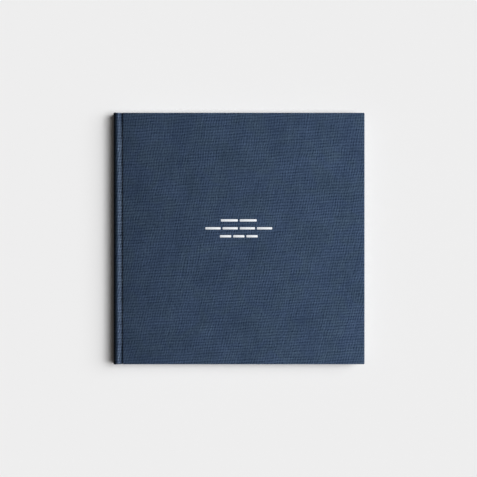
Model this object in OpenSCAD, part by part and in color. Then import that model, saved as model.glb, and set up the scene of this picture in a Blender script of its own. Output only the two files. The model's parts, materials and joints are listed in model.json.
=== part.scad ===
// Cloth-bound lay-flat album: two cloth-covered boards, a hollow spine and a block of stiff leaves.
// It lies shut on its back cover. +X runs from spine to fore edge, +Y from tail to head, +Z up.
// Section points are given as (s, z): s is the distance from the outer face of the spine.

/* [Cover] */
// Width of the shut book, from spine to fore edge
cover_w = 260; // [180:5:320]
// Height of the covers, from tail to head
cover_h = 260; // [180:5:320]
// Thickness of the cover boards
board_t = 2.4; // [2.2:0.1:3]
// Thickness of the linen cloth with its glue
cloth_t = 0.45; // [0.3:0.05:0.5]
// Width of the cloth turned in over the boards
turnin_w = 15; // [12:1:20]
// Thickness of the endpapers and pastedowns
paper_t = 0.2; // [0.15:0.05:0.3]
// Radius of the cloth over the board edges
edge_r = 0.9; // [0.6:0.1:1.2]

/* [Spine] */
// How far the spine runs past the boards at head and tail
spine_proud = 0.3; // [0:0.1:0.5]
// Depth of the rounded shoulder, from the spine face to the crest of the ridge
shoulder_w = 4.3; // [4:0.1:4.6]
// Height of the rounded shoulder
shoulder_h = 7; // [6:0.5:7]
// Distance from the spine face to the hollow behind the spine board
spine_depth = 3.05; // [2.9:0.05:3.1]
// Distance from the spine face to the lowest point of the joint groove
groove_s = 9.4; // [9:0.1:9.8]
// Distance from the spine face to the cloth on the spine edge of the boards
board_s = 10.05; // [10:0.05:11]

/* [Pages] */
// Thickness of the space that one leaf takes up
leaf_pitch = 0.6; // [0.55:0.01:0.65]
// Thickness of the space that one flyleaf takes up
fly_pitch = 0.25; // [0.22:0.01:0.3]
// Air between neighbouring leaves
leaf_gap = 0.05; // [0.03:0.01:0.08]
// How far the covers stand out past the leaves
square_w = 3; // [2:0.5:5]
// Distance from the spine face to the spine edge of the leaves
block_s = 4.1; // [4.1:0.05:4.3]
// Thickness of the paper lining on the spine edge of the leaves
lining_t = 0.2; // [0.15:0.05:0.35]

/* [Stamped title] */
// Distance of the middle row above the middle of the cover
title_y = 10.5; // [-60:0.5:60]
// Distance between the rows
title_pitch = 8.2; // [6:0.1:12]
// Height of one dash
dash_h = 2.4; // [2:0.1:5]
// Gap between two dashes of a row
dash_gap = 2; // [1:0.1:4]
// Depth of the stamping
foil_t = 0.1; // [0.05:0.05:0.2]

/* [Hidden] */
$fn = 48;
leaf_n = 20;
corner_r = 1.2;                              // radius of the corners of the covers, seen from above
shell_t = board_t + 2 * cloth_t;             // board with cloth on both faces
cover_t = shell_t + paper_t;                 // one finished cover
block_t = leaf_n * leaf_pitch + 2 * fly_pitch;
book_t = block_t + 2 * cover_t;
board_start = board_s + cloth_t;
board_end = cover_w - cloth_t;
block_end = cover_w - square_w;
block_h = cover_h - 2 * square_w;
window_end = cover_w - turnin_w;
window_h = cover_h - 2 * turnin_w;
spine_h = cover_h + 2 * spine_proud;
groove_z = book_t - cover_t + paper_t + cloth_t;   // outer face of the cloth in the groove
shoulder_cut = 67;                           // angle on the shoulder where spine cloth turns into joint cloth
shoulder_steps = 12;
crest_steps = 4;
min_reach = 1.1;                             // in thicknesses of the cloth
slope_steps = 14;
end_clear = 0.1;                             // the lining stops this far short of the outer leaves
lining_short = 1;                            // and this far short of the head and tail of the leaves
dash_r = dash_h / 4;                         // radius of the corners of the dashes
over = 1;                                    // cutters run this far past the faces they cut
title_rows = [[37, 2], [69, 4], [39, 3]];    // length of each row and its number of dashes

function leaf_name(i) = str("leaf_", i < 10 ? "0" : "", i);
leaf_names = [for (i = [1:leaf_n]) leaf_name(i)];

// Outer face of the front shoulder at angle a, moved inwards by d.
function shoulder(a, d) =
    let (n = [-cos(a) / shoulder_w, sin(a) / shoulder_h])
    [shoulder_w * (1 - cos(a)), book_t - shoulder_h * (1 - sin(a))] - d * n / norm(n);

// Outer face of the joint cloth at share u of the way from crest to groove, moved inwards by d.
function slope(u, d) =
    let (run = groove_s - shoulder_w,
         drop = book_t - groove_z,
         n = [drop / 2 * PI * sin(180 * u), run])
    [shoulder_w + run * u, groove_z + drop * (1 + cos(180 * u)) / 2] - d * n / norm(n);

function upside_down(points) = [for (p = points) [p[0], book_t - p[1]]];
function reversed(points) = [for (i = [len(points) - 1:-1:0]) points[i]];

// One half of the spine's outer face, from the flat to the start of the joint cloth.
function half_spine(d) = [for (i = [0:shoulder_steps]) shoulder(shoulder_cut * i / shoulder_steps, d)];

// The whole face of the joint cloth, from the spine to the board.
function joint_face(d) = concat(
    [for (i = [0:crest_steps]) shoulder(shoulder_cut + (90 - shoulder_cut) * i / crest_steps, d)],
    [for (i = [1:slope_steps]) slope(i / slope_steps, d)],
    [[board_s, groove_z - d]]
);

// An (s, z) section drawn out along Y, centred, with its spine face at the left side of the box.
module along_y(length) {
    translate([-cover_w / 2, length / 2, 0])
        rotate([90, 0, 0])
            linear_extrude(length) children();
}

// A block from s0 to s1 and z0 to z1, centred on Y.
module slab(s0, s1, z0, z1, length) {
    translate([s0 - cover_w / 2, -length / 2, z0]) cube([s1 - s0, length, z1 - z0]);
}

// Turns a back piece over into the matching front piece.
module to_front() {
    translate([0, 0, book_t]) mirror([0, 0, 1]) children();
}

module rounded_rect(w, h, r) {
    translate([r, 0]) square([w - 2 * r, h]);
    translate([0, r]) square([w, h - 2 * r]);
    for (x = [r, w - r])
        for (y = [r, h - r])
            translate([x, y]) circle(r);
}

// The outside of a cloth-covered board. Its spine edge stays square where the joint cloth meets it.
module cover_envelope() {
    w = cover_w - board_s;
    intersection() {
        along_y(cover_h) translate([board_s, 0]) {
            rounded_rect(w, shell_t, edge_r);
            translate([0, edge_r]) square([w / 2, shell_t - edge_r]);
        }
        translate([board_s - cover_w / 2, -cover_h / 2, 0])
            linear_extrude(shell_t) rounded_rect(w, cover_h, corner_r);
        translate([board_s - cover_w / 2, -cover_h / 2, 0])
            rotate([90, 0, 90])
                linear_extrude(w) rounded_rect(cover_h, shell_t, edge_r);
    }
}

module bare_board() {
    slab(board_start, board_end, cloth_t, cloth_t + board_t, cover_h - 2 * cloth_t);
}

// Cloth panel wrapped round the board, with its turned-in edges inside.
module cover_shell() {
    difference() {
        cover_envelope();
        bare_board();
        slab(board_start, window_end, cloth_t + board_t, shell_t + over, window_h);
    }
}

// Endpaper half glued down: it lies over the turned-in cloth and sinks on to the board between it.
module glued_paper() {
    sunk_z = cloth_t + board_t;
    sunk_start = board_start + paper_t;
    sunk_end = window_end - paper_t;
    difference() {
        union() {
            slab(block_s, block_end, shell_t, cover_t, block_h);
            slab(board_start, window_end, sunk_z, shell_t, window_h);
        }
        slab(sunk_start, sunk_end, sunk_z + paper_t, cover_t + over, window_h - 2 * paper_t);
    }
}

module joint_strip() {
    along_y(cover_h) polygon(concat(upside_down(joint_face(0)), reversed(upside_down(joint_face(cloth_t)))));
}

// Section of the spine, moved inwards by d on its outer side. Its edges always reach past the cloth.
module spine_section(d) {
    top = half_spine(d);
    cut_a = shoulder(shoulder_cut, 0);
    cut_b = shoulder(shoulder_cut, cloth_t);
    reach = max(min_reach, (spine_depth - cut_a[0]) / (cut_b[0] - cut_a[0]));
    inner = cut_a + reach * (cut_b - cut_a);
    polygon(concat([[inner[0], book_t - inner[1]]], reversed(upside_down(top)), top, [inner]));
}

module title_dashes(depth) {
    for (row = [0:len(title_rows) - 1]) {
        length = title_rows[row][0];
        count = title_rows[row][1];
        dash_w = (length - (count - 1) * dash_gap) / count;
        y = title_y + (1 - row) * title_pitch - dash_h / 2;
        for (i = [0:count - 1])
            translate([i * (dash_w + dash_gap) - length / 2, y, 0])
                linear_extrude(depth) rounded_rect(dash_w, dash_h, dash_r);
    }
}

module back_board() {
    color("tan") bare_board();
}

module front_board() {
    color("tan") to_front() bare_board();
}

module back_cover_cloth() {
    color("midnightblue") cover_shell();
}

module front_cover_cloth() {
    color("midnightblue") difference() {
        to_front() cover_shell();
        translate([0, 0, book_t - foil_t]) title_dashes(foil_t + over);
    }
}

module title_foil() {
    color("whitesmoke") translate([0, 0, book_t - foil_t]) title_dashes(foil_t);
}

module back_pastedown() {
    color("ivory") glued_paper();
}

module front_pastedown() {
    color("ivory") to_front() glued_paper();
}

module back_joint_cloth() {
    color("darkslateblue") joint_strip();
}

module front_joint_cloth() {
    color("darkslateblue") to_front() joint_strip();
}

module spine_board() {
    color("tan") along_y(spine_h - 2 * cloth_t) spine_section(cloth_t);
}

// Cloth over the outside of the spine board and over its two ends.
module spine_cloth() {
    color("navy") difference() {
        along_y(spine_h) spine_section(0);
        along_y(spine_h - 2 * cloth_t) spine_section(cloth_t);
    }
}

module spine_lining() {
    length = block_h - 2 * lining_short;
    color("linen")
        slab(block_s - lining_t, block_s, cover_t + end_clear, book_t - cover_t - end_clear, length);
}

// A leaf whose space starts at height z and is as thick as pitch.
module page(z, pitch) {
    slab(block_s, block_end, z + leaf_gap / 2, z + pitch - leaf_gap / 2, block_h);
}

module back_flyleaf() {
    color("ivory") page(cover_t, fly_pitch);
}

module front_flyleaf() {
    color("ivory") page(book_t - cover_t - fly_pitch, fly_pitch);
}

// Leaf 1 is the first page, under the front cover.
module leaf(i) {
    color("white") page(book_t - cover_t - fly_pitch - i * leaf_pitch, leaf_pitch);
}

back_board();
back_cover_cloth();
back_pastedown();
back_joint_cloth();
spine_board();
spine_cloth();
spine_lining();
front_board();
front_cover_cloth();
front_pastedown();
front_joint_cloth();
title_foil();
back_flyleaf();
front_flyleaf();
for (i = [1:leaf_n]) leaf(i);
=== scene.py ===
"""Looks for the cloth-bound album: linen, papers, card leaves, stamped dashes, a plain studio.

Shapes are built in millimetres as (s, y, z), where s is the distance from the outer face of the
spine, and turned into metres in the row frame when a mesh is made.
"""

import json
import math
import random

import bmesh
import bpy
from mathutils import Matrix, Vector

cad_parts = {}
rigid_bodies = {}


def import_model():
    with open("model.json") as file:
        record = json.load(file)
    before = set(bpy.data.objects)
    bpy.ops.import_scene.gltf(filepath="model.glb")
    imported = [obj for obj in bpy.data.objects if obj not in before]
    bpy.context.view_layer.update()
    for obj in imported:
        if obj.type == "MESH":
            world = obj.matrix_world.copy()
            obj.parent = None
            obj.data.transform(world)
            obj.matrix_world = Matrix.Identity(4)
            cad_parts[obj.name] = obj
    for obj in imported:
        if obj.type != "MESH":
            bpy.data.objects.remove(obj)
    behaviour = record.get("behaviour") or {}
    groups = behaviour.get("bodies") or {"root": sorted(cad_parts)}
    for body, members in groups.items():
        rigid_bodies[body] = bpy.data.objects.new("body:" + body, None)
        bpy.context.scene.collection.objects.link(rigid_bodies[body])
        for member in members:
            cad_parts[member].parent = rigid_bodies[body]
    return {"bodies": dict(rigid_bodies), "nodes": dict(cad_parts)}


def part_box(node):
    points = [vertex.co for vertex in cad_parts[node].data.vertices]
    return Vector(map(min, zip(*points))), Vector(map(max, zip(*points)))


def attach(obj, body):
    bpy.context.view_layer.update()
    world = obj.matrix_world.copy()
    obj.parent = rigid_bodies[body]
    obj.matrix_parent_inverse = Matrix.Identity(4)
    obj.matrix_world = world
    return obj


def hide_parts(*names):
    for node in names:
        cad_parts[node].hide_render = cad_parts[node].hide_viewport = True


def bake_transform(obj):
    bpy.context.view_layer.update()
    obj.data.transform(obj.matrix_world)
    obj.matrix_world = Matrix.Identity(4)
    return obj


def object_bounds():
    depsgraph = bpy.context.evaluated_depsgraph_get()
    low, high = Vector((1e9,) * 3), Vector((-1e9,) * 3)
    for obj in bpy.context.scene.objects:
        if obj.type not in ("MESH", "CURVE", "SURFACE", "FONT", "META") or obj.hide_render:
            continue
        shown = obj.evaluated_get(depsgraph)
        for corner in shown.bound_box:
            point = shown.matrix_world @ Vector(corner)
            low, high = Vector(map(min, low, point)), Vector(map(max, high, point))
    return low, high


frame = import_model()
cad_box = [list(corner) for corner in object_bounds()]
rng = random.Random(11)

# ---------------------------------------------------------------- sizes, from the CAD model
MM = 0.001
SPINE_X = cad_box[0][0]  # the outer face of the spine


def mm_box(node):
    """Lowest and highest (s, y, z) of a CAD node, in millimetres."""
    corners = [((p.x - SPINE_X) / MM, p.y / MM, p.z / MM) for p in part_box(node)]
    return [[round(value, 4) for value in corner] for corner in corners]


PANEL_LO, PANEL_HI = mm_box("back_cover_cloth")
BOARD_LO = mm_box("back_board")[0]
PASTE_LO, PASTE_HI = mm_box("back_pastedown")
SPINE_HI = mm_box("spine_cloth")[1]
HOLLOW_S = mm_box("spine_board")[1][0]
LINING_LO, LINING_HI = mm_box("spine_lining")
BOOK_T = round(cad_box[1][2] / MM, 4)
COVER_W, HALF_H = PANEL_HI[0], PANEL_HI[1]
BOARD_S, SHELL_T = PANEL_LO[0], PANEL_HI[2]
CLOTH_T = round(BOARD_LO[2], 4)
PAPER_T = round(PASTE_HI[2] - SHELL_T, 4)

# Shape of the shoulder and the joint groove, as in the CAD model
SHOULDER_W, SHOULDER_H = 4.3, 7.0
SHOULDER_CUT = 67
GROOVE_S = 9.4
GROOVE_Z = BOOK_T - SHELL_T + CLOTH_T
TURNIN_W = 15
EDGE_R = 0.9
CORNER_R = 1.2

SHARP_ANGLE = math.radians(40)
TUCK = 0.02  # clearance between the cloth and what it is glued to


def inwards(point, normal, d):
    """The (s, z) point at depth d below the face of the cloth."""
    size = math.hypot(*normal)
    return [p - d * n / size for p, n in zip(point, normal)]


def shoulder(angle, d):
    """A point of the rounded shoulder, from 0 degrees at the spine to 90 on the crest."""
    a = math.radians(angle)
    point = [SHOULDER_W * (1 - math.cos(a)), BOOK_T - SHOULDER_H * (1 - math.sin(a))]
    return inwards(point, [-math.cos(a) / SHOULDER_W, math.sin(a) / SHOULDER_H], d)


def slope(u, d):
    """A point of the slope, from 0 on the crest to 1 in the groove."""
    run, drop = GROOVE_S - SHOULDER_W, BOOK_T - GROOVE_Z
    point = [SHOULDER_W + run * u, GROOVE_Z + drop * (1 + math.cos(math.pi * u)) / 2]
    return inwards(point, [drop / 2 * math.pi * math.sin(math.pi * u), run], d)


# ---------------------------------------------------------------- meshes
def make(name, points, faces, flat=None, **marks):
    """A smooth-shaded object from (s, y, z) points in millimetres, with its point attributes."""
    mesh = bpy.data.meshes.new(name)
    mesh.from_pydata([(SPINE_X + s * MM, y * MM, z * MM) for s, y, z in points], [], faces)
    if flat is not None:
        layer = mesh.attributes.new("flat", "FLOAT_VECTOR", "POINT")
        layer.data.foreach_set("vector", [c for p in flat for c in (p[0], p[1], 0.0)])
    for key, values in marks.items():
        mesh.attributes.new(key, "FLOAT", "POINT").data.foreach_set("value", values)
    bm = bmesh.new()
    bm.from_mesh(mesh)
    bmesh.ops.recalc_face_normals(bm, faces=bm.faces)
    bm.to_mesh(mesh)
    bm.free()
    mesh.shade_smooth()
    mesh.set_sharp_from_angle(angle=SHARP_ANGLE)
    obj = bpy.data.objects.new(name, mesh)
    bpy.context.scene.collection.objects.link(obj)
    return obj


def loft(loops, ladder=False):
    """Points and faces of a closed solid through equal closed loops.
    Strip-shaped ends get a ladder of quads."""
    around = len(loops[0])
    faces = []
    for i in range(len(loops) - 1):
        for j in range(around):
            k = (j + 1) % around
            faces.append((i * around + j, i * around + k, (i + 1) * around + k, (i + 1) * around + j))
    for start in (0, (len(loops) - 1) * around):
        if ladder:
            for j in range(around // 2 - 1):
                faces.append((start + j, start + j + 1, start + around - 2 - j, start + around - 1 - j))
        else:
            faces.append(tuple(range(start, start + around)))
    return [p for loop in loops for p in loop], faces


CORNER_STEPS = 6


def ring(s0, s1, half, r_spine, r_fore):
    """A rounded rectangle as (s, y) points, anticlockwise from the fore edge at the head."""
    points = []
    for cs, cy, r, start in (
        (s1 - r_fore, half - r_fore, r_fore, 0),
        (s0 + r_spine, half - r_spine, r_spine, 90),
        (s0 + r_spine, r_spine - half, r_spine, 180),
        (s1 - r_fore, r_fore - half, r_fore, 270),
    ):
        for k in range(CORNER_STEPS + 1):
            a = math.radians(start + 90 * k / CORNER_STEPS)
            points.append((cs + r * math.cos(a), cy + r * math.sin(a)))
    return points


EASED = 0.3  # where the middle of an eased edge lies, as a share of its width
RIM_W, RIM_SHARE = 1.5, 0.2  # a loop this far inside the edge keeps the shading of the faces flat
MIN_R = 0.05


def slab(name, lo, hi, bevel, radius=0.3, groove=0.0, cut_tone=1.0):
    """A sheet of card or paper with eased edges.
    A groove marks the glue line of a card made of two sheets."""
    z0, z1 = lo[2], hi[2]
    flat_rim = bevel + min(RIM_W, (hi[0] - lo[0]) * RIM_SHARE)
    levels = [(z0, flat_rim), (z0, bevel), (z0 + bevel * EASED, bevel * EASED), (z0 + bevel, 0)]
    if groove:
        middle = (z0 + z1) / 2
        levels += [(middle - groove, 0), (middle, groove), (middle + groove, 0)]
    levels += [(z1 - bevel, 0), (z1 - bevel * EASED, bevel * EASED), (z1, bevel), (z1, flat_rim)]
    half, mid = (hi[1] - lo[1]) / 2, (hi[1] + lo[1]) / 2
    loops = []
    for z, inset in levels:
        r = max(radius - inset, MIN_R)
        loops.append([(s, y + mid, z) for s, y in ring(lo[0] + inset, hi[0] - inset, half - inset, r, r)])
    points, faces = loft(loops)
    cut = [cut_tone * (z0 < z < z1) for z, _ in levels for _ in loops[0]]
    return make(name, points, faces, flat=[(s, y) for s, y, z in points], cut=cut)


def flipped(points, front):
    """The same points on the front half of the book."""
    return [(s, y, BOOK_T - z) for s, y, z in points] if front else points


# ---------------------------------------------------------------- cloth round the spine, laid out flat
SHOULDER_STEPS, CREST_STEPS, SLOPE_STEPS = 16, 6, 24
SPINE_MARGIN = 1.0  # from the shoulder to the last row on the flat of the spine


def front_profile(d):
    """The face from the middle of the spine over shoulder, crest and slope into the groove."""
    points = [[d, BOOK_T / 2], [d, BOOK_T - SHOULDER_H - SPINE_MARGIN]]
    points += [shoulder(SHOULDER_CUT * i / SHOULDER_STEPS, d) for i in range(SHOULDER_STEPS + 1)]
    spine_count = len(points)
    crest = 90 - SHOULDER_CUT
    points += [shoulder(SHOULDER_CUT + crest * i / CREST_STEPS, d) for i in range(1, CREST_STEPS + 1)]
    points += [slope(i / SLOPE_STEPS, d) for i in range(1, SLOPE_STEPS + 1)]
    return points, spine_count


def lengths(points, start=0.0):
    """Distance of each point along the line through them."""
    total, found = start, [start]
    for a, b in zip(points, points[1:]):
        total += math.dist(a, b)
        found.append(total)
    return found


OUTER, SPINE_COUNT = front_profile(0)
INNER, _ = front_profile(CLOTH_T)
FILLET_R = 0.35
FILLET_STEPS = 5
fillet_s = BOARD_S - FILLET_R
joint_outer = OUTER[SPINE_COUNT - 1:]
joint_inner = INNER[SPINE_COUNT - 1:]
for i in range(FILLET_STEPS + 1):
    a = math.radians(90 * i / FILLET_STEPS)
    joint_outer.append([fillet_s + FILLET_R * math.sin(a), GROOVE_Z + FILLET_R * (1 - math.cos(a))])
    joint_inner.append([fillet_s + FILLET_R * i / FILLET_STEPS, GROOVE_Z - CLOTH_T])
spine_length = lengths(OUTER[:SPINE_COUNT])
joint_length = lengths(joint_outer, spine_length[-1])
wall_h = BOOK_T - EDGE_R - joint_outer[-1][1]
QUARTER = EDGE_R * math.pi / 2  # length of cloth round the edge of a board
PANEL_START = joint_length[-1] + wall_h + QUARTER  # where the flat face of the cover starts


def ease(t):
    t = min(max(t, 0.0), 1.0)
    return t * t * (3 - 2 * t)


PAINTED_LIGHT_FADE = 26  # painted light on the joint is less within this distance of head and tail
# a painted highlight on the slope of the ridge, partly wear
RIDGE_START, RIDGE_RISE = 4.3, 1.6
RIDGE_END, RIDGE_WIDER, RIDGE_FALL = 8.4, 1.6, 2.2
# painted light in the groove, where the wall of the board casts shade
GROOVE_LIGHT_START, GROOVE_LIGHT_RISE, GROOVE_PAINTED_LIGHT = 8.7, 0.7, 1.6
# painted shade on the shoulder, less on the flat of the spine
PAINTED_SHADE_END, PAINTED_SHADE_FALL = 5.4, 3.4
SPINE_PAINTED_SHADE, SPINE_PAINTED_SHADE_RISE = 0.25, 0.45


def joint_painted_light(s, y):
    """A painted highlight on the ridge, partly wear, and painted light in the shaded groove, less near
    head and tail.
    """
    inside = ease((HALF_H - abs(y)) / PAINTED_LIGHT_FADE)
    rise = ease((s - RIDGE_START) / RIDGE_RISE)
    ridge = rise * ease((RIDGE_END + RIDGE_WIDER * inside - s) / RIDGE_FALL)
    return ridge + GROOVE_PAINTED_LIGHT * inside * ease((s - GROOVE_LIGHT_START) / GROOVE_LIGHT_RISE)


def shoulder_painted_shade(s):
    """Painted shade: most on the shoulder, less on the flat of the spine."""
    on_spine = SPINE_PAINTED_SHADE + (1 - SPINE_PAINTED_SHADE) * ease(s / SPINE_PAINTED_SHADE_RISE)
    return min(1.0, max(0.0, (PAINTED_SHADE_END - s) / PAINTED_SHADE_FALL)) * on_spine


# ---------------------------------------------------------------- covers
FACE_ROWS = (8.0, 3.9, 1.7)  # insets of the loops on the flat outer face
EDGE_STEPS = 6
EDGE_WEAR = 0.15
TURNIN_ROWS = ((0.08, 1.8), (CLOTH_T - 0.08, 3.2))  # insets at the spine side and at the others
LIP = 0.1  # eased edge of the turned-in cloth
SPINE_GAP = 0.05  # between cloth and board at the spine side


def cover_loops():
    """Loops of the cloth round a board: outer face, edges, turn-ins and the pocket of the board.
    Each is (inset at the spine side, inset at the others, z, distance along the cloth, wear)."""
    rows = [(inset, inset, 0.0, EDGE_R - inset, 0.0) for inset in FACE_ROWS]
    angles = [math.radians(90 * i / EDGE_STEPS) for i in range(EDGE_STEPS + 1)]
    for a in angles:
        inset = EDGE_R * (1 - math.sin(a))
        z = EDGE_R * (1 - math.cos(a))
        rows.append((inset, inset, z, EDGE_R * a, EDGE_WEAR * math.sin(2 * a)))
    wall = SHELL_T - 2 * EDGE_R
    rows.append((0, 0, EDGE_R + wall / 2, QUARTER + wall / 2, 0.0))
    for a in angles:
        inset = EDGE_R * (1 - math.cos(a))
        z = SHELL_T - EDGE_R * (1 - math.sin(a))
        rows.append((0, inset, z, QUARTER + wall + EDGE_R * a, EDGE_WEAR * math.sin(2 * a)))
    turned = 2 * QUARTER + wall - EDGE_R  # add the inset to get the distance along the cloth
    for spine_in, inset in TURNIN_ROWS:
        rows.append((spine_in, inset, SHELL_T, turned + inset, 0.0))
    loose, tight = CLOTH_T - SPINE_GAP, CLOTH_T - TUCK
    under = SHELL_T - tight
    rows.append((loose, TURNIN_W - LIP, SHELL_T, turned + TURNIN_W - LIP, 0.0))
    rows.append((tight, TURNIN_W, SHELL_T - LIP, turned + TURNIN_W, 0.0))
    rows.append((tight, TURNIN_W, under, turned + TURNIN_W + CLOTH_T - LIP, 0.0))
    rows.append((loose, tight, under, turned + EDGE_R, 0.0))
    rows.append((loose, tight, tight, 0.0, 0.0))
    rows.append((TURNIN_W, TURNIN_W, tight, -TURNIN_W, 0.0))
    return rows


WALL_PAINTED_LIGHT = 1.3  # painted light on the spine side of the board, as in the groove
CREASE = 0.12  # depth of the fold line across the corners of the turn-ins
CREASE_FROM = 1.0  # it starts this far from the edges
DIAGONAL = CORNER_STEPS // 2
FORE_CORNERS = (0, 3)  # numbers of the corners of a ring at the fore edge
SPINE_CORNER_R, MIN_SPINE_R, MIN_FORE_R, MIN_FLAT_R = 0.8, 0.15, 0.2, 0.1
SIDE_W = 5.0  # points nearer than this to the spine side of the board belong to that side


def cover_panel(name, front):
    """The cloth over one board, with the creases of its turn-ins."""
    loops, flat, wear = [], [], []
    side = 1 if front else -1
    for spine_in, other_in, z, along, worn in cover_loops():
        r_fore = max(CORNER_R - other_in, MIN_FORE_R)
        r_spine = max(SPINE_CORNER_R - spine_in, MIN_SPINE_R)
        s0, s1 = BOARD_S + spine_in, COVER_W - other_in
        loop = [(s, y, z) for s, y in ring(s0, s1, HALF_H - other_in, r_spine, r_fore)]
        if z == SHELL_T and other_in > CREASE_FROM:
            for corner in FORE_CORNERS:
                j = corner * (CORNER_STEPS + 1) + DIAGONAL
                loop[j] = (loop[j][0], loop[j][1], z - CREASE)
        loops.append(loop)
        out = along - EDGE_R
        r = max(CORNER_R - EDGE_R + along, MIN_FLAT_R)
        for s, y in ring(BOARD_S - out, COVER_W + out, HALF_H + out, r, r):
            flat.append((side * (PANEL_START + s - BOARD_S - EDGE_R), y))
        # painted light on the spine side wall, where the groove is in shade; real wear on the other edges
        wall_light = WALL_PAINTED_LIGHT * ease(z / EDGE_R) * (other_in < EDGE_R)
        wear += [worn if s > BOARD_S + SIDE_W else wall_light for s, _, _ in loop]
    points, faces = loft(loops)
    return make(name, flipped(points, front), faces, flat=flat, wear=wear, soil=[0.0] * len(points))


FOLD_STEPS = 5
FOLD_SHARE = 0.96  # how far the two faces come together at the folded ends
JOINT_ROWS = (4, 9, 15, 20, 26, 80)  # distances of the rows from head and tail
END_WEAR = 0.2


def joint_strip(name, front):
    """The cloth over crest, slope and groove, folded over and so round at head and tail."""
    thick = CLOTH_T / 2
    levels = []
    for i in range(FOLD_STEPS + 1):
        a = math.radians(90 * i / FOLD_STEPS)
        levels.append((HALF_H - thick * (1 - math.sin(a)), thick * (1 - math.cos(a)) * FOLD_SHARE))
    levels = levels[::-1] + [(HALF_H - away, 0) for away in JOINT_ROWS]
    whole = levels + [(-y, inset) for y, inset in levels[::-1]]
    side = 1 if front else -1
    loops, flat, wear, soil = [], [], [], []
    for y, inset in whole:
        share = inset / CLOTH_T
        outer = [[a + (b - a) * share for a, b in zip(p, q)] for p, q in zip(joint_outer, joint_inner)]
        inner = [[b + (a - b) * share for a, b in zip(p, q)] for p, q in zip(joint_outer, joint_inner)]
        loops.append([(s, y, z) for s, z in outer + inner[::-1]])
        ends = END_WEAR * (inset > 0)
        row = [(side * u, y) for u in joint_length]
        flat += row + row[::-1]
        # painted highlight on the ridge and painted light in the groove, with wear at the folded ends
        row = [max(joint_painted_light(p[0], y), ends) for p in joint_outer]
        wear += row + row[::-1]
        # painted shade on the shoulder
        row = [shoulder_painted_shade(p[0]) for p in joint_outer]
        soil += row + row[::-1]
    points, faces = loft(loops, ladder=True)
    return make(name, flipped(points, not front), faces, flat=flat, wear=wear, soil=soil)


SPINE_END_R = 0.4
SPINE_END_ANGLES = (0.3, 0.6, 0.9, 1.2, 1.5708)
SPINE_END_WEAR, SPINE_END_PAINTED_SHADE = 0.25, 0.6
TUCKED_T, TUCKED_EASE = 0.24, 0.1  # thickness and eased edges of the cloth turned into the hollow
TUCKED_Z = 1.7  # height of its side over the face of the back cover
TUCKED_AIR, TUCKED_IN = 0.01, 0.3  # its distance from the board and from the ends


def spine_cover(name):
    """The cloth over the outside of the spine board, over its two ends and turned into the hollow."""
    half = SPINE_HI[1]

    def whole_path(d):
        points, _ = front_profile(d)
        upper = points[1:SPINE_COUNT]
        return [[s, BOOK_T - z] for s, z in upper[::-1]] + upper

    arc = [-u for u in spine_length[:0:-1]] + spine_length[1:]
    outer, inner = whole_path(0), whole_path(CLOTH_T - TUCK)
    # painted shade on the shoulders
    shoulder_shade_row = [shoulder_painted_shade(p[0]) for p in outer]
    loops, flat, soil, wear = [], [], [], []
    for y in (half - CLOTH_T, half / 3, -half / 3, CLOTH_T - half):
        loops.append([(s, y, z) for s, z in outer + inner[::-1]])
        flat += [(u, y) for u in arc] + [(u, y) for u in arc[::-1]]
        soil += shoulder_shade_row + shoulder_shade_row[::-1]
        wear += [0.0] * len(loops[-1])
    points, faces = loft(loops, ladder=True)
    # the two ends, with a rounded edge
    cut_a, cut_b = shoulder(SHOULDER_CUT, 0), shoulder(SHOULDER_CUT, CLOTH_T)
    for sign in (1, -1):
        start = len(points)
        rows = [(half - CLOTH_T, 0), (half - SPINE_END_R, 0)]
        for a in SPINE_END_ANGLES:
            rows.append((half - SPINE_END_R * (1 - math.sin(a)), SPINE_END_R * (1 - math.cos(a))))
        end_loops = []
        for y, d in rows:
            path = whole_path(d)
            share = (HOLLOW_S - d / 2 - cut_a[0]) / (cut_b[0] - cut_a[0])
            tip = [a + share * (b - a) for a, b in zip(cut_a, cut_b)]
            loop = [(tip[0], BOOK_T - tip[1])] + path + [tuple(tip)]
            end_loops.append([(s, sign * y, z) for s, z in loop])
            flat += [(u, sign * (y + d)) for u in [arc[0] - 1] + arc + [arc[-1] + 1]]
            # painted shade on the ends of the shoulders
            soil += [0.0] + [v * SPINE_END_PAINTED_SHADE for v in shoulder_shade_row] + [0.0]
            wear += [SPINE_END_WEAR + d] * len(loop)  # more where the edge turns in
        end_points, end_faces = loft(end_loops)
        points += end_points
        faces += [tuple(start + j for j in face) for face in end_faces]
    # turned in, inside the hollow
    low, floor_s = TUCKED_Z + TUCKED_EASE, HOLLOW_S + TUCKED_AIR
    sides = ((TUCKED_Z, TUCKED_EASE), (low, 0), (BOOK_T - low, 0), (BOOK_T - TUCKED_Z, TUCKED_EASE))
    for sign in (1, -1):
        start = len(points)
        strip = []
        for z, inset in sides:
            top_s = HOLLOW_S + TUCKED_T - inset
            near, far = sorted((sign * (half - TUCKED_IN), sign * (half - TURNIN_W + inset)))
            strip.append([(floor_s, near, z), (top_s, near, z), (top_s, far, z), (floor_s, far, z)])
        strip_points, strip_faces = loft(strip)
        points += strip_points
        faces += [tuple(start + j for j in face) for face in strip_faces]
        flat += [(z, y) for s, y, z in strip_points]
        soil += [0.0] * len(strip_points)
        wear += [0.0] * len(strip_points)
    return make(name, points, faces, flat=flat, wear=wear, soil=soil)


PASTE_EASE, PASTE_AIR, PASTE_R = 0.05, 0.01, 0.3
# each row is (s at the spine side, inset at the others), some with a height over the face below it
PASTE_UNDER = ((13.0, 17.2, 0.0), (12.0, 16.2, 0.0), (11.3, 15.6, 0.18))
PASTE_REST, PASTE_TOP = (10.7, 15.1), (10.4, 14.7)  # innermost rows on the turned-in cloth
PASTE_BEND, PASTE_BEND_DROP = (10.9, 15.2), 0.04  # where the paper starts to sink
PASTE_DIP = ((11.5, 15.8, 0.15), (12.1, 16.4, 0.02), (12.7, 17.0, 0.0), (20, 24, 0.0))


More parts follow.
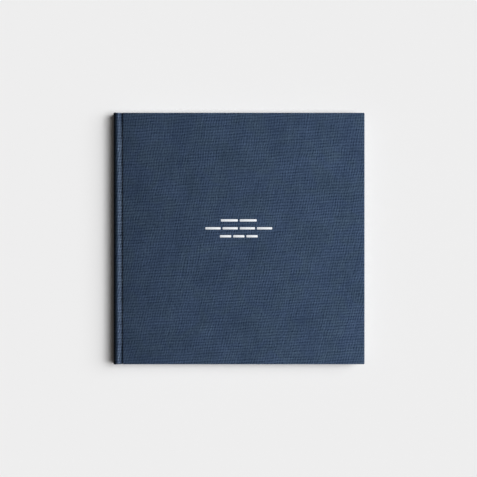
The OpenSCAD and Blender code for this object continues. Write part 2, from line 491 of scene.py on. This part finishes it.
def pastedown(name, front):
    """Paper over the turned-in cloth, sunk on to the board between it."""
    low, rest, top = SHELL_T - CLOTH_T + TUCK, SHELL_T + PASTE_AIR, SHELL_T + PAPER_T
    s0, other = PASTE_LO[0], COVER_W - PASTE_HI[0]
    rows = [(s_in, inset, low + rise) for s_in, inset, rise in PASTE_UNDER]
    rows += [
        (*PASTE_REST, rest),
        (s0 + PASTE_EASE, other + PASTE_EASE, rest),
        (s0, other, SHELL_T + PASTE_EASE),
        (s0, other, top - PASTE_EASE),
        (s0 + PASTE_EASE, other + PASTE_EASE, top),
        (*PASTE_TOP, top),
        (*PASTE_BEND, top - PASTE_BEND_DROP),
    ]
    rows += [(s_in, inset, low + PAPER_T + rise) for s_in, inset, rise in PASTE_DIP]
    loops = []
    for s_in, inset, z in rows:
        outline = ring(s_in, COVER_W - inset, HALF_H - inset, PASTE_R, PASTE_R)
        loops.append([(s, y, z) for s, y in outline])
    points, faces = loft(loops)
    return make(name, flipped(points, front), faces, flat=[(s, y) for s, y, z in points])


# ---------------------------------------------------------------- stamped dashes
TITLE_ROWS = ((37, 2), (69, 4), (39, 3))
TITLE_Y, TITLE_PITCH = 10.5, 8.2
DASH_H, DASH_GAP = 2.4, 2.0
STAMP_DEPTH, FOIL_UNDER = 0.12, 0.05
CUTTER_RISE = 1  # how far the cutter stands out of the cover
STAMP_GROW, STAMP_SLOPE = 0.05, 0.08  # the pressed hollow is a little larger, with sloping sides
STAMP_REACH = 60  # all dashes lie within this distance of the middle of the cover
STAMP_LEVEL = 0.2  # and their hollows within this distance of its face
DASH_ROUNDNESS = 4  # height of a dash over the radius of its corners


def dash_places():
    """Middle and width of each dash, as (s, y, width)."""
    for row, (length, count) in enumerate(TITLE_ROWS):
        width = (length - (count - 1) * DASH_GAP) / count
        for i in range(count):
            middle = i * (width + DASH_GAP) - length / 2 + width / 2 + COVER_W / 2
            yield middle, TITLE_Y + TITLE_PITCH * (1 - row), width


def dash(middle, y, width, grow, z_rows):
    """A bar with rounded corners. Each of z_rows is (height, inset)."""
    loops = []
    for z, inset in z_rows:
        half_w, half_h = width / 2 + grow - inset, DASH_H / 2 + grow - inset
        r = DASH_H / DASH_ROUNDNESS + grow - inset
        loops.append([(middle + p[0], y + p[1], z) for p in ring(-half_w, half_w, half_h, r, r)])
    return loft(loops)


def several(name, solids):
    """One object from several closed solids."""
    points, faces = [], []
    for p, f in solids:
        faces += [tuple(len(points) + j for j in face) for face in f]
        points += p
    return make(name, points, faces, flat=[(s, y) for s, y, z in points])


def stamp_into(panel):
    """Presses the dashes into the face of the panel, and restores the attributes of the new points."""
    rows = ((BOOK_T - STAMP_DEPTH, STAMP_SLOPE), (BOOK_T + CUTTER_RISE, -STAMP_SLOPE))
    cutter = several("cutter", [dash(*place, STAMP_GROW, rows) for place in dash_places()])
    boolean = panel.modifiers.new("stamp", "BOOLEAN")
    boolean.operation, boolean.solver, boolean.object = "DIFFERENCE", "EXACT", cutter
    depsgraph = bpy.context.evaluated_depsgraph_get()
    made = bpy.data.meshes.new_from_object(panel.evaluated_get(depsgraph))
    panel.modifiers.clear()
    panel.data = made
    bpy.data.objects.remove(cutter)
    for i, vertex in enumerate(made.vertices):
        s, y = (vertex.co.x - SPINE_X) / MM, vertex.co.y / MM
        near = abs(s - COVER_W / 2) < STAMP_REACH and abs(y) < STAMP_REACH
        if near and vertex.co.z > (BOOK_T - STAMP_LEVEL) * MM:
            made.attributes["flat"].data[i].vector = (PANEL_START + s - BOARD_S - EDGE_R, y, 0)
            # no wear, painted light or painted shade in the stamped hollows
            made.attributes["wear"].data[i].value = 0
            made.attributes["soil"].data[i].value = 0
    made.shade_smooth()
    made.set_sharp_from_angle(angle=SHARP_ANGLE)


# ---------------------------------------------------------------- node helpers
MIX_SHARE, MIX_A, MIX_B, MIX_RESULT = 0, 6, 7, 2  # colour sockets of the Mix node


def wire(tree, value, socket):
    if isinstance(value, bpy.types.NodeSocket):
        tree.links.new(value, socket)
    else:
        socket.default_value = value


def node(tree, kind, inputs=None, **settings):
    made = tree.nodes.new("ShaderNode" + kind)
    for key, value in settings.items():
        setattr(made, key, value)
    for key, value in (inputs or {}).items():
        wire(tree, value, made.inputs[key])
    return made


def calc(tree, operation, *values):
    made = node(tree, "Math", operation=operation)
    for i, value in enumerate(values):
        wire(tree, value, made.inputs[i])
    return made.outputs[0]


def mixed(tree, share, a, b):
    inputs = {MIX_SHARE: share, MIX_A: a, MIX_B: b}
    return node(tree, "Mix", inputs, data_type="RGBA").outputs[MIX_RESULT]


def mapped(tree, value, low, high, to_low=0.0, to_high=1.0):
    """The value from low to high, brought to the range from to_low to to_high and held there."""
    inputs = {"Value": value, "From Min": low, "From Max": high, "To Min": to_low, "To Max": to_high}
    return node(tree, "MapRange", inputs).outputs[0]


def noise(tree, place, scale, detail, roughness=0.5, distortion=0.0, output="Fac"):
    inputs = {"Vector": place, "Scale": scale, "Detail": detail}
    inputs.update({"Roughness": roughness, "Distortion": distortion})
    return node(tree, "TexNoise", inputs).outputs[output]


def mark(tree, name, output="Fac"):
    """A point attribute of the mesh."""
    return node(tree, "Attribute", attribute_name=name, attribute_type="GEOMETRY").outputs[output]


def split(tree, vector):
    return node(tree, "SeparateXYZ", {0: vector}).outputs


def scaled(tree, colour, scale):
    return node(tree, "VectorMath", {0: colour, "Scale": scale}, operation="SCALE").outputs[0]


def half_waves(tree, along, count):
    """A sine with this many half waves for each step of the coordinate."""
    return calc(tree, "SINE", calc(tree, "MULTIPLY", along, math.pi * count))


def material(name, roughness, specular=0.3):
    made = bpy.data.materials.new(name)
    made.use_nodes = True
    shader = made.node_tree.nodes["Principled BSDF"]
    shader.inputs["Roughness"].default_value = roughness
    shader.inputs["Specular IOR Level"].default_value = specular
    return made, made.node_tree, shader


def bump(tree, shader, height, distance, strength=1.0):
    made = node(tree, "Bump", {"Height": height, "Distance": distance * MM, "Strength": strength})
    tree.links.new(made.outputs[0], shader.inputs["Normal"])


# ---------------------------------------------------------------- linen
# Lengths are in millimetres of flat cloth. A pair is (factor, amount added), or (lowest, highest) where
# its name ends in RANGE.
WARP_PITCH, WEFT_PITCH = 1.3, 1.5  # a group of yarns
YARNS = 3  # in a group
WANDER, WANDER_SCALE = (5.5, 3.0, 0.0), 0.035  # how far the yarns stray, and how often
WARP_LEAN = (0.0002, -0.207)  # slope of the warp, which leans more towards the tail
WEFT_LEAN = -0.058  # slope of the weft
WEFT_SPREAD = (-0.000125, 1.0)  # the weft is spread a little wider towards the head
YARN_ROUNDNESS = 0.6  # below 1, the yarns are flatter on top than a sine
OVER_UNDER = 0.3
SLUB_STEP, SLUB_RUN = 7.31, 0.045  # from yarn to yarn, and along a yarn
SLUB_SHADE, SLUB_BODY = (0.9, -0.1), (0.5, 0.4)
FLECK_STEP, FLECK_RUN, FLECK_SEED = 3.17, 0.5, 5
FLECK_SHADE = (1.1, -0.4)
PATCH_SCALE, PATCH_RANGE = 0.06, (0.3, 0.65)
RIB_CONTRAST = 0.24
# painted shade: the hollows of the weave darker than the tops of the yarns
HOLLOW_PAINTED_SHADE = (0.62, 0.36)
MOTTLE_SCALE, MOTTLE_SHADE = 0.03, (0.35, 0.34)
FULL_TONE = 0.75
HUE_SCALE, HUE_RANGE = 0.045, (0.36, 0.62)
PAINTED_LIGHT_RANGE = (0.8, 1.2)  # painted light: brightness rising from the spine side of the cover to the fore edge
PAINTED_SHADE_W, PAINTED_SHADE_RANGE = 45, (0.9, 1.0)  # painted shade: brightness of the stretch next to the spine
# a grey and a gain shared by wear and the painted highlight; the last is how much the painted shade
# darkens
WORN_AND_LIT_SHARE, WORN_AND_LIT_GAIN, PAINTED_SHADE_LOSS = 0.35, 2.15, 0.82


def yarn_set(tree, across, along, sign, seed):
    """Height and shade of the yarns in one direction, with both coordinates counted in groups."""
    wave = half_waves(tree, across, YARNS)
    over = calc(tree, "MULTIPLY", calc(tree, "SIGN", wave), half_waves(tree, along, YARNS))
    number = calc(tree, "FLOOR", calc(tree, "MULTIPLY", across, YARNS))

    def streaks(step, run, own_seed, detail, roughness):
        """Noise drawn out along the yarns, with a new stretch of it for each yarn."""
        x, y = calc(tree, "MULTIPLY", number, step), calc(tree, "MULTIPLY", along, run)
        place = node(tree, "CombineXYZ", {0: x, 1: y, 2: own_seed}).outputs[0]
        return noise(tree, place, 1.0, detail, roughness)

    slub = streaks(SLUB_STEP, SLUB_RUN, seed, detail=3.0, roughness=0.6)
    fleck = streaks(FLECK_STEP, FLECK_RUN, seed + FLECK_SEED, detail=2.0, roughness=0.7)
    slub_shade = calc(tree, "MULTIPLY_ADD", slub, *SLUB_SHADE)
    shade = calc(tree, "ADD", slub_shade, calc(tree, "MULTIPLY_ADD", fleck, *FLECK_SHADE))
    profile = calc(tree, "POWER", calc(tree, "ABSOLUTE", wave), YARN_ROUNDNESS)
    body = calc(tree, "MULTIPLY", profile, calc(tree, "MULTIPLY_ADD", slub, *SLUB_BODY))
    return calc(tree, "MULTIPLY_ADD", over, OVER_UNDER * sign, body), shade


def rib_set(tree, cloth, across, seed):
    """Heavier and lighter groups of yarns in turn, more in some places than in others.
    The seed distorts the noise, so that the two sets have different places."""
    patch = noise(tree, cloth, PATCH_SCALE, detail=1.0, distortion=seed)
    return calc(tree, "MULTIPLY", half_waves(tree, across, 1), mapped(tree, patch, *PATCH_RANGE))


def yarn_coordinates(tree, cloth):
    """Groups of yarns counted across the warp and across the weft, with their wandering and lean."""
    sway = noise(tree, cloth, WANDER_SCALE, detail=4.0, roughness=0.62, output="Color")
    centred = node(tree, "VectorMath", {0: sway, 1: (0.5, 0.5, 0.5)}, operation="SUBTRACT").outputs[0]
    inputs = {0: centred, 1: WANDER, 2: cloth}
    x, y, _ = split(tree, node(tree, "VectorMath", inputs, operation="MULTIPLY_ADD").outputs[0])
    lean = calc(tree, "MULTIPLY_ADD", y, *WARP_LEAN)
    spread = calc(tree, "MULTIPLY_ADD", y, *WEFT_SPREAD)
    across_warp = calc(tree, "MULTIPLY_ADD", y, lean, x)
    across_weft = calc(tree, "MULTIPLY_ADD", x, WEFT_LEAN, calc(tree, "MULTIPLY", y, spread))
    return calc(tree, "DIVIDE", across_warp, WARP_PITCH), calc(tree, "DIVIDE", across_weft, WEFT_PITCH)


def weave(tree, cloth):
    """Height and tone of a plain weave with uneven yarns, slubs and mottling."""
    u, v = yarn_coordinates(tree, cloth)
    warp_seed, weft_seed = 3.7, 9.1
    warp, warp_shade = yarn_set(tree, u, v, 1, warp_seed)
    weft, weft_shade = yarn_set(tree, v, u, -1, weft_seed)
    ribs = calc(tree, "ADD", rib_set(tree, cloth, u, warp_seed), rib_set(tree, cloth, v, weft_seed))
    top = calc(tree, "MAXIMUM", warp, weft)
    warp_on_top = calc(tree, "GREATER_THAN", warp, weft)
    difference = calc(tree, "SUBTRACT", warp_shade, weft_shade)
    shade = calc(tree, "MULTIPLY_ADD", difference, warp_on_top, weft_shade)
    shade = calc(tree, "MULTIPLY_ADD", ribs, RIB_CONTRAST, shade)
    # painted shade: the hollows of the weave are darker than the tops of the yarns
    relief = calc(tree, "MULTIPLY_ADD", top, *HOLLOW_PAINTED_SHADE)
    mottle = noise(tree, cloth, MOTTLE_SCALE, detail=3.0)
    mottle = calc(tree, "MULTIPLY_ADD", mottle, *MOTTLE_SHADE)
    tone = calc(tree, "MULTIPLY", calc(tree, "MULTIPLY", shade, relief), mottle)
    return top, mapped(tree, tone, 0.0, FULL_TONE)


def linen(name, light, cool, dark, worn_and_lit):
    """Book linen on the cloth's own flat coordinates, with painted light across the cover, a painted
    highlight and wear on the joints and edges, and painted shade on the shoulders.
    """
    made, tree, shader = material(name, 0.85, specular=0.03)
    cloth = mark(tree, "flat", "Vector")
    top, tone = weave(tree, cloth)
    hue = noise(tree, cloth, HUE_SCALE, detail=2.0, distortion=1.0)
    hue = mapped(tree, hue, *HUE_RANGE)
    colour = mixed(tree, tone, dark, mixed(tree, hue, light, cool))
    # painted light across the cover, brighter towards the fore edge, with painted shade next to the spine
    from_spine = calc(tree, "ABSOLUTE", split(tree, cloth)[0])
    scale = mapped(tree, from_spine, PANEL_START, PANEL_START + COVER_W, *PAINTED_LIGHT_RANGE)
    spine_side_shade = mapped(tree, from_spine, PANEL_START, PANEL_START + PAINTED_SHADE_W, *PAINTED_SHADE_RANGE)
    scale = calc(tree, "MULTIPLY", scale, spine_side_shade)
    # wear and the painted highlight lighten the tops of the yarns
    worn_and_lit_tops = calc(tree, "MULTIPLY", mark(tree, "wear"), tone)
    colour = mixed(tree, calc(tree, "MULTIPLY", worn_and_lit_tops, WORN_AND_LIT_SHARE), colour, worn_and_lit)
    scale = calc(tree, "MULTIPLY", scale, calc(tree, "MULTIPLY_ADD", worn_and_lit_tops, WORN_AND_LIT_GAIN, 1.0))
    # painted shade darkens the shoulders and the spine
    unshaded = calc(tree, "MULTIPLY_ADD", mark(tree, "soil"), -PAINTED_SHADE_LOSS, 1.0)
    scale = calc(tree, "MULTIPLY", scale, unshaded)
    tree.links.new(scaled(tree, colour, scale), shader.inputs["Base Color"])
    bump(tree, shader, top, distance=0.1, strength=0.8)
    return made


# ---------------------------------------------------------------- papers, board and foil
CUT_EDGE_LOSS = 0.38  # how much darker the cut edges of the leaves are
CLOUD_SCALE = 0.02
BOARD_FLECK_SCALE = 900  # on coordinates in metres
SPECK_SCALE = 0.7
THIN_FOIL, FULL_FOIL = 1.0, 1.35  # heights of the cloth with thin foil and with full foil
SPECK_HEIGHT, YARN_HEIGHT = 2.0, 0.6


def paper(name, colour, shade, roughness, grain, depth, specular=0.25):
    """Fine fibres and slow clouds, darker at the cut edges."""
    made, tree, shader = material(name, roughness, specular)
    place = mark(tree, "flat", "Vector")
    fibre = noise(tree, place, grain, detail=5.0, roughness=0.7)
    cloud = noise(tree, place, CLOUD_SCALE, detail=2.0)
    share = calc(tree, "MULTIPLY", calc(tree, "ADD", fibre, cloud), 0.5)
    grey = calc(tree, "MULTIPLY_ADD", mark(tree, "cut"), -CUT_EDGE_LOSS, 1.0)
    tint = scaled(tree, mixed(tree, share, shade, colour), grey)
    tree.links.new(tint, shader.inputs["Base Color"])
    bump(tree, shader, fibre, distance=depth)
    return made


def board(name, colour, shade):
    """Grey board with flecks."""
    made, tree, shader = material(name, 0.9)
    place = node(tree, "TexCoord").outputs["Object"]
    fleck = noise(tree, place, BOARD_FLECK_SCALE, detail=4.0, roughness=0.75)
    tree.links.new(mixed(tree, fleck, shade, colour), shader.inputs["Base Color"])
    bump(tree, shader, fleck, distance=0.06)
    return made


def foil(name, colour, thin):
    """White foil over the weave: it covers the tops of the yarns and is thinner in the hollows."""
    made, tree, shader = material(name, 0.45, specular=0.4)
    place = mark(tree, "flat", "Vector")
    x, y, _ = split(tree, place)
    warp = calc(tree, "ABSOLUTE", half_waves(tree, x, YARNS / WARP_PITCH))
    weft = calc(tree, "ABSOLUTE", half_waves(tree, y, YARNS / WEFT_PITCH))
    yarns = calc(tree, "MAXIMUM", warp, weft)
    speck = noise(tree, place, SPECK_SCALE, detail=4.0, roughness=0.7)
    specks = calc(tree, "MULTIPLY", speck, SPECK_HEIGHT)
    height = calc(tree, "MULTIPLY_ADD", yarns, YARN_HEIGHT, specks)
    cover = mapped(tree, height, THIN_FOIL, FULL_FOIL)
    tree.links.new(mixed(tree, cover, thin, colour), shader.inputs["Base Color"])
    bump(tree, shader, yarns, distance=0.04, strength=0.5)
    return made


LINEN = linen(
    "linen_navy",
    light=(0.117, 0.181, 0.273, 1),
    cool=(0.113, 0.174, 0.295, 1),
    dark=(0.006, 0.014, 0.034, 1),
    # grey of wear and of the painted highlight
    worn_and_lit=(0.2, 0.21, 0.225, 1),
)
ENDPAPER = paper(
    "endpaper_offwhite",
    colour=(0.74, 0.72, 0.67, 1),
    shade=(0.66, 0.64, 0.59, 1),
    roughness=0.9,
    grain=1.4,
    depth=0.02,
)
CARD = paper(
    "page_card_white",
    colour=(0.73, 0.73, 0.715, 1),
    shade=(0.69, 0.69, 0.675, 1),
    roughness=0.5,
    grain=0.6,
    depth=0.006,
    specular=0.3,
)
LINING = paper(
    "lining_kraft",
    colour=(0.7, 0.6, 0.46, 1),
    shade=(0.48, 0.39, 0.28, 1),
    roughness=0.85,
    grain=0.9,
    depth=0.05,
)
BOARD = board("greyboard_flecked", colour=(0.46, 0.43, 0.38, 1), shade=(0.27, 0.25, 0.21, 1))
FOIL = foil("foil_white", colour=(0.74, 0.77, 0.8, 1), thin=(0.26, 0.3, 0.37, 1))


# ---------------------------------------------------------------- the object
def dress(obj, finish, replaced):
    obj.data.materials.clear()
    obj.data.materials.append(finish)
    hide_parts(replaced)
    return obj


def add_cover(side):
    body = side + "_cover"
    is_front = side == "front"
    panel = cover_panel(side + "_linen", is_front)
    if is_front:
        stamp_into(panel)
    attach(dress(panel, LINEN, side + "_cover_cloth"), body)
    sheet = pastedown(side + "_endpaper_glued", is_front)
    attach(dress(sheet, ENDPAPER, side + "_pastedown"), body)


def add_joint(side):
    is_front = side == "front"
    strip = joint_strip(side + "_joint_linen", is_front)
    dress(strip, LINEN, side + "_joint_cloth")
    if is_front:
        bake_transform(strip)
    else:
        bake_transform(strip)


FOIL_AIR, FOIL_EASE = 0.005, 0.03


def add_title():
    low, top = BOOK_T - STAMP_DEPTH + FOIL_AIR, BOOK_T - FOIL_UNDER
    rows = ((low, FOIL_EASE), (top - FOIL_EASE, 0), (top, 2 * FOIL_EASE))
    marks = several("stamped_dashes", [dash(*place, 0, rows) for place in dash_places()])
    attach(dress(marks, FOIL, "title_foil"), "front_cover")


MISCUT = 0.25  # a leaf is up to this much short at the fore edge, head and tail
CARD_BEVEL, PAPER_BEVEL, LINING_BEVEL = 0.07, 0.04, 0.03
GLUE_LINE = 0.035
CUT_TONES = (0.5, 1.5)
LINING_AIR, LINING_R = 0.01, 0.06


def add_page(body, is_card):
    lo, hi = mm_box(body)
    trim = [rng.uniform(0, MISCUT) for _ in range(3)]
    lo_cut = [lo[0], lo[1] + trim[0], lo[2]]
    hi_cut = [hi[0] - trim[1], hi[1] - trim[2], hi[2]]
    tone = rng.uniform(*CUT_TONES)
    if is_card:
        page = slab(body + "_card", lo_cut, hi_cut, CARD_BEVEL, groove=GLUE_LINE, cut_tone=tone)
        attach(dress(page, CARD, body), body)
    else:
        page = slab(body + "_paper", lo_cut, hi_cut, PAPER_BEVEL, cut_tone=tone)
        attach(dress(page, ENDPAPER, body), body)


def add_lining(body):
    """The stretch of the spine lining that is glued to one leaf."""
    lo, hi = mm_box(body)
    low = [LINING_LO[0], LINING_LO[1], lo[2]]
    high = [LINING_HI[0] - LINING_AIR, LINING_HI[1], hi[2]]
    strip = slab(body.replace("leaf", "lining"), low, high, LINING_BEVEL, LINING_R, cut_tone=0.0)
    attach(dress(strip, LINING, "spine_lining"), body)


add_cover("back")
add_cover("front")
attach(dress(spine_cover("spine_linen"), LINEN, "spine_cloth"), "spine")
add_joint("back")
add_joint("front")
add_title()
for body in frame["bodies"]:
    if body.endswith("_flyleaf"):
        add_page(body, False)
    elif body.startswith("leaf_"):
        add_page(body, True)
        add_lining(body)
for name in ("back_board", "front_board", "spine_board"):
    frame["nodes"][name].data.materials.clear()
    frame["nodes"][name].data.materials.append(BOARD)

# ---------------------------------------------------------------- studio
# Places are in metres, the lens and the sensor in millimetres.
FLOOR_HALF = 9
FLOOR_COLOUR = (0.7985, 0.8035, 0.811, 1)
FILL_COLOUR, FILL_STRENGTH = (1.0, 0.91, 0.82, 1), 0.095
LENS, SENSOR = 110, 36
CAMERA_PLACE = (-0.0003, 0, 1.5255)


def add_floor():
    finish, _, shader = material("studio_floor", 0.9, specular=0.0)
    shader.inputs["Base Color"].default_value = FLOOR_COLOUR
    mesh = bpy.data.meshes.new("floor")
    corners = [(x * FLOOR_HALF, y * FLOOR_HALF, 0) for x, y in ((-1, -1), (1, -1), (1, 1), (-1, 1))]
    mesh.from_pydata(corners, [], [(0, 1, 2, 3)])
    mesh.materials.append(finish)
    floor = bpy.data.objects.new("floor", mesh)
    bpy.context.scene.collection.objects.link(floor)


def add_sun(name, power, size, azimuth, elevation):
    """A broad soft light far away. Azimuth 0 is from +X and 90 from +Y."""
    light = bpy.data.lights.new(name, "SUN")
    light.energy, light.angle = power, math.radians(size)
    obj = bpy.data.objects.new(name, light)
    obj.rotation_euler = (0, math.radians(90 - elevation), math.radians(azimuth))
    bpy.context.scene.collection.objects.link(obj)


def add_fill():
    world = bpy.data.worlds.new("studio")
    world.use_nodes = True
    background = world.node_tree.nodes["Background"]
    background.inputs["Color"].default_value = FILL_COLOUR
    background.inputs["Strength"].default_value = FILL_STRENGTH
    bpy.context.scene.world = world


def add_camera():
    """Straight above the book, looking down, with its head at the top of the picture."""
    camera = bpy.data.cameras.new("camera")
    camera.lens, camera.sensor_width = LENS, SENSOR
    view = bpy.data.objects.new("camera", camera)
    view.location = CAMERA_PLACE
    bpy.context.scene.collection.objects.link(view)
    bpy.context.scene.camera = view


add_floor()
add_sun("key", power=2.37, size=33, azimuth=3, elevation=62.5)
add_sun("side", power=1.37, size=42, azimuth=12, elevation=45)
add_fill()
add_camera()
bpy.context.scene.view_settings.view_transform = "Standard"
